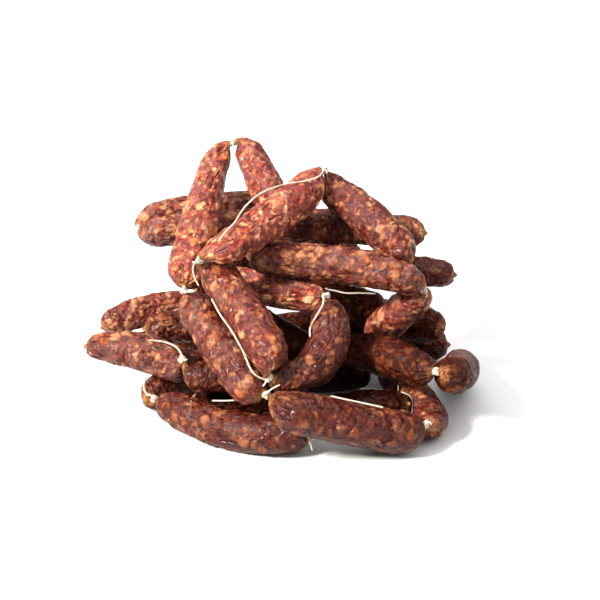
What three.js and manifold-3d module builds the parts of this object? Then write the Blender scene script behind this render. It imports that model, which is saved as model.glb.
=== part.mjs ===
// A string of small dry-cured sausage links, tied off with cotton twine and left in a heap.
// Millimetres, +Z up, X along the heap's longest side, the heap's front towards -Y.
import * as THREE from 'three';
import * as BufferGeometryUtils from 'three/addons/utils/BufferGeometryUtils.js';
import Module from 'manifold-3d';

const wasm = await Module();
wasm.setup();

// Clearances and mesh fineness
const LIFT_PASSES = 4;
const RUN_LIFT = 1.1; // clearance under a run of twine where it lies over a link
const GAP = 0.35; // clearance between neighbouring pieces
const LINK_GAP = 0.6; // clearance between the links' full outlines while they settle
const LINK_SIDES = 12; // corners round a link
const BODY_RINGS = 5; // cross-sections along a link's straight stretch
const DOME_RINGS = 4; // further cross-sections over each rounded end

// The casing gathers into a narrow neck at each end of a link
const NECK_RADIUS = 2.2;
const NECK_CLEARANCE = 4.5; // from the middle of an untied neck's tip to another link's skin
const NECK_REACH = 2; // how far a neck without a tie stands out of the rounded end
const LUMP_DEPTH = 0.03; // depth of the dents in a link, as a share of its radius
const PLEAT_DEPTH = 0.07; // depth of the folds round an end, as a share of its radius
const PLEATS = 6;
const SHORTEST_DOME = 0.7; // least height of an end pressed against another link, by its radius
const FINE_STRETCHES = 24; // steps along a centre line where the nearest place on it is sought

// Twine
const TWINE_RADIUS = 0.65;
const TIE_LENGTH = 4.2; // the wound twine on a neck, along the neck
const TIE_RADIUS = 3.0;
const TIE_SIDES = 8;
const KNOT_RADIUS = 2.0;
const TWINE_SIDES = 5;
const RUN_STEP = 8; // length of each straight piece of a long run

// The heap settles by sliding away from its front and down, along SLOPE
const SLOPE_ANGLE = THREE.MathUtils.degToRad(25);
const SLOPE = new THREE.Vector3(0, Math.cos(SLOPE_ANGLE), -Math.sin(SLOPE_ANGLE));
const STRETCHES = 6; // straight stretches that stand for a link's centre line
const SETTLE_ROUNDS = 500;
const LETTING_GO_ROUNDS = 260; // rounds in which the links still slide
const SLIDE_STEP = 0.05;
const LONGEST_SLIDE = 4;
const HOME_PULL = 0.04; // share of its move aside that a link takes back in each round
const ASIDE = 0.3; // how readily a link gives way across SLOPE, with 1 for along it
const FLAT_SPOT = 0.5; // how much a link on the surface is flattened under its weight

// Each link: the centres of its two rounded ends, its radius, how far its middle bows aside, and
// how much thinner it is towards each end, as a share of its radius
const LINKS = {
  link_front_floor: [[-72, -46, 13.4], [6, -78, 13.4], 13.4, [0, -7, -3], [0.15, 0.05]],
  link_front_right_upper: [[10, -96, 39], [77.5, -79, 15], 14.5, [0, -1, 0], [0.05, 0]],
  link_right_floor: [[98, -64, 14], [80, -3, 14], 14, [0, 0, 0], [0.05, 0.1]],
  link_left_floor: [[-85, -23, 14], [-42, 34, 14], 13.5, [0, 0, 0], [0.1, 0.1]],
  link_front_slanting: [[-54, -53, 42], [-5, -30, 32], 12.5, [0, 0, 0], [0.15, 0.1]],
  link_left_arm_front: [[-124, -15, 45], [-72, -35, 41], 13.2, [-3, 3, 2], [0.25, 0.05]],
  link_left_arm_rear: [[-121, 41, 38], [-76, 61, 41.5], 11.8, [0, 3, 1], [0.1, 0.1]],
  link_left_inner_low: [[-87, 21, 42], [-51, 26, 42], 11.5, [0, 0, 0], [0.05, 0.1]],
  link_left_steep: [[-58, -10, 72], [-21, -68, 45], 13.6, [-1, 0, 0], [0.15, 0.05]],
  link_middle_steep: [[-44, -14, 100], [-7, -71, 68], 14, [1, 0, 0], [0.15, 0.1]],
  link_front_bowed: [[10, -73, 52], [32, -40, 79], 14, [8, -3, -2], [0.2, 0.1]],
  link_middle_inner: [[-30, 9, 83], [17, -9, 81], 12, [0, 0, 0], [0.1, 0.1]],
  link_middle_long: [[-9, -8, 109], [83, -20, 99.5], 12.7, [1, 3, 1.5], [0.12, 0.12]],
  link_right_drooping: [[89, -3, 74], [71, 9, 50], 12.8, [0, 0, 0], [0.15, 0.05]],
  link_right_front_middle: [[55, -26, 47], [88, -55, 50.5], 14, [0, 1, 1], [0.1, 0.12]],
  link_right_end_on: [[114, -62, 48], [126, 10, 17], 13.2, [3, -2, 1], [0.05, 0.1]],
  link_right_shoulder: [[5, 50, 112], [88, 38, 110], 12, [0, 0, 0], [0.1, 0.05]],
  link_right_shelf: [[48, 38, 86], [110.5, 33, 80], 10.6, [0, 0, 0], [0.1, 0.02]],
  link_crown_left: [[-49, 64, 149], [-65, -9, 99], 13.5, [-1, -2, -2], [0.22, 0]],
  link_crown_rear: [[-22, 69, 154], [-2, 33, 124], 13, [0, 0, 0], [0.15, 0.05]],
  link_crown_front: [[17, 34, 142], [-34, -22, 124], 13.8, [1, -1, -1], [0.12, 0.2]],
  link_crown_right: [[38, 43, 137], [78.5, 7, 112], 13.8, [1, 1, 1], [0.15, 0.05]],
  link_left_shoulder_thin: [[-93, 84, 104], [-16, 90, 112], 10, [0, 0, 2], [0.05, 0.1]],
  link_left_shoulder: [[-87, 63, 99.5], [-20, 68, 105], 11.5, [0, 0, 0], [0.05, 0.1]],
  link_left_inner: [[-50, 33, 60], [10, 5, 36], 12.4, [0, 0, 0], [0.1, 0.05]],
  link_inner_right: [[27, 44, 58], [64, 33, 52.5], 12.6, [0, 0, 0], [0.1, 0.1]],
  link_floor_right_inner: [[33, -50, 13], [74, -38, 13], 13, [0, 0, 0], [0.1, 0.1]],
  link_floor_left_inner: [[-46, -33, 13], [4, -45, 13], 13, [0, 0, 0], [0.1, 0.1]],
  link_floor_middle: [[6, 2, 13], [54, 8, 13], 13, [0, 0, 0], [0.1, 0.1]],
  link_right_rear_middle: [[98, 20, 45], [55, 64, 27], 13.5, [0, 0, 0], [0.05, 0.1]],
  link_right_rear_floor: [[107, 44, 13.5], [38, 39, 13.5], 13.5, [0, 0, 0], [0.05, 0.1]],
  link_back_left_floor: [[-102, 50, 13], [-36, 74, 13], 13, [0, 0, 0], [0.1, 0.1]],
  link_back_top: [[-40, 62, 80], [42, 66, 84], 12, [0, 0, 0], [0.1, 0.1]],
  link_back_top_left: [[-66, 88, 82], [8, 90, 84], 12, [0, 0, 0], [0.1, 0.1]],
  link_back_middle: [[-55, 82, 42], [22, 78, 60], 12.5, [0, 0, 0], [0.1, 0.1]],
  link_back_right_floor: [[0, 82, 13], [78, 90, 13], 13, [0, 0, 0], [0.1, 0.1]],
  link_back_slope: [[46, 68, 46], [46, 108, 20], 13, [0, 0, 0], [0.1, 0.1]],
};

const vector = (xyz) => new THREE.Vector3(...xyz);

function makeLink([start, end, radius, bow, taper]) {
  const link = { start: vector(start), end: vector(end), radius, bow: vector(bow), taper };
  link.home = [link.start.clone(), link.end.clone()];
  link.span = link.start.distanceTo(link.end);
  return link;
}

// The centre line, a parabola from end to end through the bowed middle: share 0 to 1
function centre(link, share) {
  const lift = 4 * share * (1 - share);
  return link.start.clone().lerp(link.end, share).addScaledVector(link.bow, lift);
}

function radiusAt(link, share) {
  const [fromStart, fromEnd] = [share, 1 - share].map((part) => Math.max(0, 1 - 2 * part) ** 1.5);
  return link.radius * (1 - link.taper[0] * fromStart - link.taper[1] * fromEnd);
}

function direction(link, share) {
  const chord = link.end.clone().sub(link.start);
  return chord.addScaledVector(link.bow, 4 - 8 * share).normalize();
}

// The closest two points of two straight stretches, as shares s and t of them
function closestShares(p0, p1, q0, q1) {
  const u = p1.clone().sub(p0);
  const v = q1.clone().sub(q0);
  const w = p0.clone().sub(q0);
  const [a, b, c, d, e] = [u.dot(u), u.dot(v), v.dot(v), u.dot(w), v.dot(w)];
  const clamp = (x) => Math.min(1, Math.max(0, x));
  const denominator = a * c - b * b;
  let s = denominator > 1e-9 ? clamp((b * e - c * d) / denominator) : 0.5;
  const t = clamp((b * s + e) / c);
  s = clamp((b * t - d) / a);
  return [s, t];
}

function closest(first, second) {
  let best = { distance: Infinity };
  for (let i = 0; i < STRETCHES; i++) {
    const [p0, p1] = [first.line[i], first.line[i + 1]];
    for (let k = 0; k < STRETCHES; k++) {
      const [q0, q1] = [second.line[k], second.line[k + 1]];
      const [s, t] = closestShares(p0, p1, q0, q1);
      const p = p0.clone().lerp(p1, s);
      const q = q0.clone().lerp(q1, t);
      const distance = p.distanceTo(q);
      if (distance < best.distance) {
        best = { distance, p, q, s: (i + s) / STRETCHES, t: (k + t) / STRETCHES };
      }
    }
  }
  return best;
}

function traceLine(link) {
  link.line = [];
  for (let i = 0; i <= STRETCHES; i++) {
    link.line.push(centre(link, i / STRETCHES));
  }
}

// Moves the link's point at the share by the offset, turning the link as a stiff rod
function nudge(link, share, offset) {
  const [a, b] = [1 - share, share];
  const scale = 1 / (a * a + b * b);
  link.start.addScaledVector(offset, a * scale);
  link.end.addScaledVector(offset, b * scale);
}

function keepLength(link) {
  const chord = link.end.clone().sub(link.start);
  const excess = (chord.length() - link.span) / 2;
  chord.normalize();
  link.start.addScaledVector(chord, excess);
  link.end.addScaledVector(chord, -excess);
}

function keepOffFloor(link) {
  for (const share of [0, 0.5, 1]) {
    const sunk = radiusAt(link, share) - FLAT_SPOT - centre(link, share).z;
    if (sunk > 0) {
      nudge(link, share, new THREE.Vector3(0, 0, sunk));
    }
  }
}

// Lets the links slide until they rest on each other and none runs into another
function settle(links) {
  for (let round = 0; round < SETTLE_ROUNDS; round++) {
    for (const link of links) {
      const ends = [link.start, link.end];
      for (let i = 0; i < 2; i++) {
        const moved = ends[i].clone().sub(link.home[i]);
        const slid = moved.dot(SLOPE);
        const aside = moved.addScaledVector(SLOPE, -slid);
        ends[i].addScaledVector(aside, -HOME_PULL);
        if (round < LETTING_GO_ROUNDS && slid < LONGEST_SLIDE) {
          ends[i].addScaledVector(SLOPE, SLIDE_STEP);
        }
      }
      keepLength(link);
      keepOffFloor(link);
      traceLine(link);
    }
    for (let i = 0; i < links.length; i++) {
      for (let k = i + 1; k < links.length; k++) {
        const touch = closest(links[i], links[k]);
        const reach = radiusAt(links[i], touch.s) + radiusAt(links[k], touch.t) + LINK_GAP;
        const deep = reach - touch.distance;
        if (deep <= 0) continue;
        const apart = touch.p.clone().sub(touch.q).normalize();
        const along = apart.dot(SLOPE);
        const push = apart.clone().multiplyScalar(ASIDE).addScaledVector(SLOPE, (1 - ASIDE) * along);
        push.multiplyScalar(deep / push.dot(apart) / 2);
        nudge(links[i], touch.s, push);
        nudge(links[k], touch.t, push.negate());
        traceLine(links[i]);
        traceLine(links[k]);
      }
    }
  }
}

const mapValues = (rows, make) => (
  Object.fromEntries(Object.entries(rows).map(([name, row]) => [name, make(row)]))
);
const links = mapValues(LINKS, makeLink);
settle(Object.values(links));

// Each tie: the one or two link ends that it closes (0 start, 1 end), how far it stands off the
// middle of their end centres, which way its knot points, and either a short cut tail from the knot
// or a longer run of twine from it, through the places given
const TIES = {
  tie_crown_peak: {
    ends: [['link_crown_left', 0], ['link_crown_rear', 0]], off: [0, 3, 14], knot: [0, -1, 0.4],
  },
  tie_crown_ridge: {
    ends: [['link_crown_front', 0], ['link_crown_right', 0]], off: [0, 2, 15], knot: [-0.3, -1, 0.6],
    run: [[24, 27, 154], [16, 23, 153], [3, 17, 153], [-7, 11, 152], [-17, 1, 150], [-25, -8, 145],
      [-31, -19, 139], [-38, -30, 135], [-41, -32, 131]],
  },
  tie_left_shoulder: {
    ends: [['link_left_shoulder_thin', 0], ['link_left_shoulder', 0]], off: [-14, -6, -2],
    knot: [-0.5, -0.5, 0.7],
  },
  tie_middle_left: {
    ends: [['link_crown_front', 1], ['link_middle_steep', 0]], off: [-15, -4, 2], knot: [-0.6, -0.8, 0],
    run: [[-59, -23, 108], [-58, -26, 103], [-55, -29, 98]],
  },
  tie_middle_foot: {
    ends: [['link_middle_steep', 1], ['link_front_bowed', 0]], off: [-9, -12.5, -1.5], knot: [-0.5, -1, -1],
    run: [[-16, -88, 62], [-24, -77, 73], [-32, -61, 80], [-41, -47, 87], [-46, -39, 93]],
  },
  tie_front: {
    ends: [['link_left_steep', 1], ['link_front_right_upper', 0]], off: [-3, -1, 3.5], knot: [0, -0.8, 0.6],
    tail: [9, 1, 6],
  },
  tie_left_steep_top: {
    ends: [['link_left_steep', 0]], off: [-8, 1, 13], knot: [0, -0.9, 0.4], tail: [8, -4, 2],
  },
  tie_right_fold: {
    ends: [['link_middle_long', 1], ['link_right_drooping', 0]], off: [9.5, -2, 1], knot: [0.4, -0.9, 0.2],
  },
  tie_right_end: {
    ends: [['link_right_front_middle', 1], ['link_right_end_on', 0]], off: [0.5, -12, 6],
    knot: [0, -0.6, 0.8],
  },
  tie_right_floor: {
    ends: [['link_front_right_upper', 1], ['link_right_floor', 0]], off: [5.5, -9, 5.5],
    knot: [0.2, -0.6, 0.8],
  },
  tie_front_slanting: {
    ends: [['link_front_slanting', 0]], off: [-10, 0, 13], knot: [0.3, -0.8, 0.5],
    run: [[-67, -41, 50], [-68, -36, 51], [-73, -27, 52], [-80, -23, 53], [-91, -22, 54]],
  },
  tie_floor_left: {
    ends: [['link_front_floor', 0]], off: [-14, 3, 6], knot: [0, -0.7, 0.7],
    run: [[-89, -50, 27], [-91, -45, 24], [-94, -38, 25], [-94, -27, 28]],
  },
  tie_floor_front: {
    ends: [['link_front_floor', 1]], off: [14, -4, 0], knot: [0, -1, 0.2], tail: [1, -3, -8],
  },
  tie_bowed_top: {
    ends: [['link_front_bowed', 1]], off: [-2, 6, 14], knot: [-0.6, -0.7, 0.4],
    run: [[27, -44, 90], [23, -47, 84], [19, -49, 76], [19, -55, 73]],
  },
};

const endCentre = ([name, end]) => (end ? links[name].end : links[name].start);
const tieHalf = TIE_LENGTH / 2 + GAP;

function placeTie({ ends: [first, second], off, knot, tail, run }) {
  const middle = endCentre(first).clone();
  if (second) {
    middle.add(endCentre(second)).multiplyScalar(0.5);
  }
  const at = middle.add(vector(off));
  const axis = second
    ? endCentre(second).clone().sub(endCentre(first)).normalize()
    : vector(off).normalize();
  links[first[0]].necks[first[1]] = { tip: at.clone().addScaledVector(axis, -tieHalf), way: axis };
  if (second) {
    const back = axis.clone().negate();
    links[second[0]].necks[second[1]] = { tip: at.clone().addScaledVector(axis, tieHalf), way: back };
  }
  return { at, axis, knotWay: vector(knot), tail: tail && vector(tail), run };
}

for (const link of Object.values(links)) {
  link.necks = [null, null];
}
const ties = mapValues(TIES, placeTie);

// A repeatable draw between 0 and 1
function makeDraw(seed) {
  let state = seed;
  return () => {
    state = (state * 1664525 + 1013904223) % 4294967296;
    return state / 4294967296;
  };
}

// Share of the radius that the dents take away at a place on the skin: low lumps, never outward
function makeDents(seed) {
  const draw = makeDraw(seed * 7919 + 17);
  const waves = [1, 2, 3, 2].map((turns) => ({
    turns,
    along: 5 + 9 * draw(),
    phase: 2 * Math.PI * draw(),
  }));
  return (angle, place) => {
    let sum = 0;
    for (const wave of waves) {
      sum += Math.sin(wave.turns * angle + wave.along * place + wave.phase);
    }
    return LUMP_DEPTH * (1 - sum / waves.length);
  };
}

// Two directions square to the way given, turned on from the ones before it
function carryFrame(frame, way) {
  const turn = new THREE.Quaternion().setFromUnitVectors(frame.way, way);
  return {
    way: way.clone(),
    across: frame.across.clone().applyQuaternion(turn),
    upright: frame.upright.clone().applyQuaternion(turn),
  };
}

function firstFrame(way) {
  const across = new THREE.Vector3(0, 0, 1).cross(way).normalize();
  const upright = way.clone().cross(across);
  return { way, across, upright };
}

// The place on the link's centre line that is nearest to the point
function nearestCentre(link, point) {
  let nearest = link.start;
  for (let i = 0; i <= FINE_STRETCHES; i++) {
    const place = centre(link, i / FINE_STRETCHES);
    if (place.distanceTo(point) < nearest.distanceTo(point)) {
      nearest = place;
    }
  }
  return nearest;
}

// How far an untied neck's tip may be from the end centre before it meets another link
function freeReach(link, end, base, outward) {
  const others = Object.values(links).filter((other) => other !== link);
  const dome = radiusAt(link, end);
  let reach = dome + NECK_REACH;
  for (; reach > SHORTEST_DOME * dome; reach -= 0.5) {
    const tip = base.clone().addScaledVector(outward, reach);
    const meets = (other) => nearestCentre(other, tip).distanceTo(tip) < other.radius + NECK_CLEARANCE;
    if (!others.some(meets)) break;
  }
  return reach;
}

// The rounded end: cross-sections from the body out to the neck, leaning over to the neck's tip
function domeRings(link, end, frame) {
  const outward = frame.way.clone().multiplyScalar(end ? 1 : -1);
  const base = end ? link.end : link.start;
  const free = base.clone().addScaledVector(outward, freeReach(link, end, base, outward));
  const neck = link.necks[end] ?? { tip: free, way: outward };
  const reach = neck.tip.clone().sub(base);
  const along = reach.dot(outward);
  const lean = reach.addScaledVector(outward, -along);
  const neckWay = neck.way.clone().multiplyScalar(end ? 1 : -1);
  const rings = [];
  for (let i = 1; i <= DOME_RINGS; i++) {
    const t = i / DOME_RINGS;
    const quarter = (Math.PI / 2) * t;
    const at = base.clone().addScaledVector(outward, along * Math.sin(quarter));
    at.addScaledVector(lean, t * t);
    const radius = NECK_RADIUS + (radiusAt(link, end) - NECK_RADIUS) * Math.cos(quarter);
    const way = frame.way.clone().lerp(neckWay, t ** 3).normalize();
    rings.push({ at, radius, frame: carryFrame(frame, way), pleat: t < 1 ? PLEAT_DEPTH * t : 0, t });
  }
  return rings;
}

function linkGeometry(link, seed) {
  const dents = makeDents(seed);
  const body = [];
  let frame = firstFrame(direction(link, 0));
  for (let i = 0; i < BODY_RINGS; i++) {
    const share = i / (BODY_RINGS - 1);
    frame = carryFrame(frame, direction(link, share));
    body.push({ at: centre(link, share), radius: radiusAt(link, share), frame, pleat: 0, t: 0 });
  }
  const head = domeRings(link, 0, body[0].frame).reverse();
  const foot = domeRings(link, 1, frame);
  const rings = [...head, ...body, ...foot];
  const points = [rings[0].at];
  rings.forEach((ring, index) => {
    const place = index / (rings.length - 1);
    for (let side = 0; side < LINK_SIDES; side++) {
      const angle = (2 * Math.PI * side) / LINK_SIDES;
      const fold = ring.pleat * (0.5 - 0.5 * Math.cos(PLEATS * angle + seed));
      const dent = ring.t < 1 ? dents(angle, place) : 0;
      const radius = ring.radius * (1 - fold - dent);
      const point = ring.at.clone();
      point.addScaledVector(ring.frame.across, radius * Math.cos(angle));
      point.addScaledVector(ring.frame.upright, radius * Math.sin(angle));
      point.z = Math.max(point.z, 0);
      points.push(point);
    }
  });
  points.push(rings[rings.length - 1].at);
  const faces = [];
  const corner = (ring, side) => 1 + ring * LINK_SIDES + (side % LINK_SIDES);
  for (let side = 0; side < LINK_SIDES; side++) {
    faces.push(0, corner(0, side + 1), corner(0, side));
    for (let ring = 0; ring < rings.length - 1; ring++) {
      const [a, b] = [corner(ring, side), corner(ring, side + 1)];
      const [c, d] = [corner(ring + 1, side), corner(ring + 1, side + 1)];
      faces.push(a, b, d, a, d, c);
    }
    faces.push(points.length - 1, corner(rings.length - 1, side), corner(rings.length - 1, side + 1));
  }
  const geometry = new THREE.BufferGeometry().setFromPoints(points);
  geometry.setIndex(faces);
  return geometry;
}

function toSolid(geometry, matrix) {
  let shape = geometry.clone();
  shape.deleteAttribute('normal');
  shape.deleteAttribute('uv');
  shape = BufferGeometryUtils.mergeVertices(shape.applyMatrix4(matrix), 1e-4);
  const triVerts = new Uint32Array(shape.index.array);
  const vertProperties = new Float32Array(shape.attributes.position.array);
  return new wasm.Manifold(new wasm.Mesh({ numProp: 3, vertProperties, triVerts }));
}

function toGeometry(solid) {
  const mesh = solid.getMesh();
  const geometry = new THREE.BufferGeometry();
  geometry.setAttribute('position', new THREE.BufferAttribute(mesh.vertProperties, 3));
  geometry.setIndex(new THREE.BufferAttribute(mesh.triVerts, 1));
  return geometry;
}

// A tube of twine through the points, with closed ends
function twineTube(points, steps) {
  const section = new THREE.Shape();
  for (let i = 0; i < TWINE_SIDES; i++) {
    const angle = (2 * Math.PI * i) / TWINE_SIDES;
    const [x, y] = [TWINE_RADIUS * Math.cos(angle), TWINE_RADIUS * Math.sin(angle)];
    if (i) {
      section.lineTo(x, y);
    } else {
      section.moveTo(x, y);
    }
  }
  const path = new THREE.CatmullRomCurve3(points, false, 'centripetal');
  return new THREE.ExtrudeGeometry(section, { steps, extrudePath: path, bevelEnabled: false });
}

// Lifts a point of a run off every link that it would lie inside
function liftOff(point) {
  for (let pass = 0; pass < LIFT_PASSES; pass++) {
    for (const link of Object.values(links)) {
      const nearest = nearestCentre(link, point);
      const clear = link.radius + TWINE_RADIUS + RUN_LIFT;
      const away = point.clone().sub(nearest);
      if (away.length() < clear) {
        point.copy(nearest).addScaledVector(away.normalize(), clear);
      }
    }
  }
  return point;
}

// A run of twine along the route, laid over the links; a held start stays where it is
function runGeometry(route, held) {
  const rough = new THREE.CatmullRomCurve3(route, false, 'centripetal');
  const steps = Math.max(3, Math.round(rough.getLength() / RUN_STEP));
  const points = rough.getSpacedPoints(steps);
  points.slice(held ? 1 : 0).forEach(liftOff);
  return twineTube(points, steps);
}

// Turns of twine wound round a neck, with the knot on one side and the cut tail
function tieGeometry({ at, axis, knotWay, tail, run }) {
  const half = TIE_LENGTH / 2;
  const edge = half * 0.6;
  const outline = [[0, -half], [TIE_RADIUS, -edge], [TIE_RADIUS, edge], [0, half]];
  const profile = outline.map(([r, y]) => new THREE.Vector2(r, y));
  const turn = new THREE.Quaternion().setFromUnitVectors(new THREE.Vector3(0, 1, 0), axis);
  const wound = new THREE.LatheGeometry(profile, TIE_SIDES);
  const woundPlace = new THREE.Matrix4().compose(at, turn, new THREE.Vector3(1, 1, 1));
  const outward = knotWay.clone().addScaledVector(axis, -knotWay.dot(axis)).normalize();
  const knotAt = at.clone().addScaledVector(outward, TIE_RADIUS * 0.9);
  const knotPlace = new THREE.Matrix4().makeTranslation(knotAt.x, knotAt.y, knotAt.z);
  const knot = new THREE.IcosahedronGeometry(KNOT_RADIUS, 0);
  let solid = toSolid(wound, woundPlace).add(toSolid(knot, knotPlace));
  if (tail) {
    const bend = knotAt.clone().addScaledVector(tail, 0.5).addScaledVector(outward, 0.8);
    const tube = twineTube([knotAt, bend, knotAt.clone().add(tail)], 3);
    solid = solid.add(toSolid(tube, new THREE.Matrix4()));
  }
  if (run) {
    const tube = runGeometry([knotAt, ...run.map(vector)], true);
    solid = solid.add(toSolid(tube, new THREE.Matrix4()));
  }
  return toGeometry(solid);
}

// Further runs of twine, each from one place where it is held to the next
const RUNS = {
  run_under_arm: [[-117, 1, 40], [-112, 9, 40], [-106, 14, 41], [-98, 17, 42]],
  run_between_floor_and_steep: [[-46, -62, 29], [-39, -64, 30], [-31, -67, 32]],
  run_under_long: [[29, -9, 86], [35, -8, 85], [43, -8, 83], [53, -8, 83], [64, -11, 84]],
  run_on_front_right: [[32, -92, 49], [40, -92, 47], [52, -90, 43], [66, -89, 39]],
  run_hanging_inside: [[79, -40, 29], [79, -50, 26], [80, -61, 23]],
  run_on_inner_floor: [[52, -49, 26], [60, -47, 26], [67, -46, 26]],
};

const MEAT_COLOUR = [0.35, 0.11, 0.08];
const TWINE_COLOUR = 0xe8dfcc;

function meat(seed) {
  const color = new THREE.Color(...MEAT_COLOUR).multiplyScalar(0.9 + 0.2 * makeDraw(seed)());
  return new THREE.MeshStandardMaterial({ color, roughness: 0.4, metalness: 0 });
}

function twine() {
  return new THREE.MeshStandardMaterial({ color: TWINE_COLOUR, roughness: 0.9, metalness: 0 });
}

const group = new THREE.Group();
const add = (name, geometry, material) => {
  const mesh = new THREE.Mesh(geometry, material);
  mesh.name = name;
  group.add(mesh);
};
Object.entries(links).forEach(([name, link], index) => {
  add(name, linkGeometry(link, index), meat(index));
});
Object.entries(ties).forEach(([name, tie]) => add(name, tieGeometry(tie), twine()));
Object.entries(RUNS).forEach(([name, route]) => {
  add(name, runGeometry(route.map(vector), false), twine());
});

// The origin is under the middle of the heap
const box = new THREE.Box3().setFromObject(group);
const middle = box.getCenter(new THREE.Vector3());
group.position.set(-middle.x, -middle.y, -box.min.z);

export default group;
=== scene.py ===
# %% [markdown]
# # A heap of dry-cured sausage links
# Thirty-seven small sausages are tied on one string and lie in a loose heap. The meat is dark red
# lean with lumps of orange and cream fat, held in a thin natural casing that has dried and
# wrinkled. The necks that show are tied off with off-white cotton twine.
#
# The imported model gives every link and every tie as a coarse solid. This lesson loads that model
# as a fixed frame, then dresses each solid in a fine surface of its own.

import itertools
import math

import bpy
import numpy as np
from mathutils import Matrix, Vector


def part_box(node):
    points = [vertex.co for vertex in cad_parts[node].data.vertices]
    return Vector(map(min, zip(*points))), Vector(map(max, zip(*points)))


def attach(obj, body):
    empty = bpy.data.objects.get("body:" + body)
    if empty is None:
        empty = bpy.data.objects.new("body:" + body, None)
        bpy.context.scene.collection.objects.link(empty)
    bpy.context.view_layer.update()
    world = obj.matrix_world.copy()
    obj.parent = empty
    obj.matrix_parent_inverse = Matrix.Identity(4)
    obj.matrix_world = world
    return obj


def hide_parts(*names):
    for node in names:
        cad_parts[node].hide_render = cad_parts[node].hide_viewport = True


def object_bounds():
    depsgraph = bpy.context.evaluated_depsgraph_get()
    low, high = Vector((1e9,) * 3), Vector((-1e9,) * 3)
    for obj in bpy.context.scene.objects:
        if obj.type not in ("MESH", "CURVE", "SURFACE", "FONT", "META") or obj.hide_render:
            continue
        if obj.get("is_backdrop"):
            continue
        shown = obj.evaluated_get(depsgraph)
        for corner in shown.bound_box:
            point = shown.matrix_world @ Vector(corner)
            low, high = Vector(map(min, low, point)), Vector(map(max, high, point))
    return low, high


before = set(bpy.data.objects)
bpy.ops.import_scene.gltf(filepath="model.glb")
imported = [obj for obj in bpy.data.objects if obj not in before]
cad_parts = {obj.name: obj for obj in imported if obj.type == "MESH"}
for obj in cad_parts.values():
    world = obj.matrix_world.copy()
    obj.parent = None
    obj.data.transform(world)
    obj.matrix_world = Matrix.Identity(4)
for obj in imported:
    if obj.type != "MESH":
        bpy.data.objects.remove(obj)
frame_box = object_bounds()
MM = 0.001
link_names = sorted(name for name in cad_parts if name.startswith("link_"))
print(len(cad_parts), "solids in the frame,", len(link_names), "of them links")

# %% [markdown]
# ## The studio
# The heap is photographed on a white sweep, a little from above, through a long lens. A large
# soft light stands to the front left, so the shadow falls softly to the right. Its rays all come
# from one far disc, and the disc's width softens the shadow's edge. A white ceiling fills the
# shadows, but the room at the height of the heap is dim. That keeps the glossy skins dark and
# rich in colour at their edges.

# %% Place the camera
CAMERA_RISE = math.radians(25)
CAMERA_DISTANCE = 0.980
LOOKS_AT = np.array([11.91, -17.82, 74.0]) * MM

camera_data = bpy.data.cameras.new("camera")
camera_data.lens = 85
camera_data.sensor_width = 36
camera = bpy.data.objects.new("camera", camera_data)
back = np.array([0, -math.cos(CAMERA_RISE), math.sin(CAMERA_RISE)])
camera.location = LOOKS_AT + CAMERA_DISTANCE * back
camera.rotation_euler = (math.pi / 2 - CAMERA_RISE, 0, 0)
bpy.context.scene.collection.objects.link(camera)
bpy.context.scene.camera = camera
bpy.context.scene.view_settings.view_transform = "Standard"
print("camera at", [round(x, 3) for x in camera.location])

# %% The key light
KEY_COMES_FROM = Vector((-0.80, -0.50, 0.74))
KEY_SPREAD = math.radians(12)
KEY_STRENGTH = 10.3

key_data = bpy.data.lights.new("key_light", "SUN")
key_data.angle = KEY_SPREAD
key_data.energy = KEY_STRENGTH
key_data.color = (1.0, 0.96, 0.90)
key_light = bpy.data.objects.new("key_light", key_data)
key_light.rotation_euler = KEY_COMES_FROM.to_track_quat("Z", "Y").to_euler()
bpy.context.scene.collection.objects.link(key_light)
print("a key light that is", round(math.degrees(KEY_SPREAD)), "degrees wide")

# %% [markdown]
# ## Helpers for shader nodes
# A material is a small graph. `add_node` puts one node in it and fills its sockets, from a value
# or from another node's output. `new_group` makes an effect with named inputs and outputs, which
# several materials can share with their own values.

# %% Node helpers


def add_node(tree, kind, inputs=None, **settings):
    """One node: settings are its own fields, and inputs are values or sockets by name."""
    node = tree.nodes.new(kind)
    for field, value in settings.items():
        setattr(node, field, value)
    for name, value in (inputs or {}).items():
        socket = node.inputs[name]
        if isinstance(value, bpy.types.NodeSocket):
            tree.links.new(value, socket)
        else:
            socket.default_value = value
    return node


def mix_colours(tree, share, first, second, blend="MIX"):
    """The first colour where the share is 0, the second where it is 1."""
    node = tree.nodes.new("ShaderNodeMix")
    node.data_type = "RGBA"
    node.blend_type = blend
    for index, value in ((0, share), (6, first), (7, second)):
        if isinstance(value, bpy.types.NodeSocket):
            tree.links.new(value, node.inputs[index])
        else:
            node.inputs[index].default_value = value
    return node.outputs[2]


def calculate(tree, operation, *values):
    """The result of a sum on one, two or three values or sockets."""
    node = tree.nodes.new("ShaderNodeMath")
    node.operation = operation
    for index, value in enumerate(values):
        if isinstance(value, bpy.types.NodeSocket):
            tree.links.new(value, node.inputs[index])
        else:
            node.inputs[index].default_value = value
    return node.outputs[0]


def ease(tree, value, low, high, to_low=0.0, to_high=1.0):
    """Follows the value smoothly from to_low, at low, up to to_high, at high."""
    node = add_node(
        tree, "ShaderNodeMapRange", {"Value": value, "From Min": low, "From Max": high,
                                     "To Min": to_low, "To Max": to_high},
        interpolation_type="SMOOTHSTEP",
    )
    return node.outputs["Result"]


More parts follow.
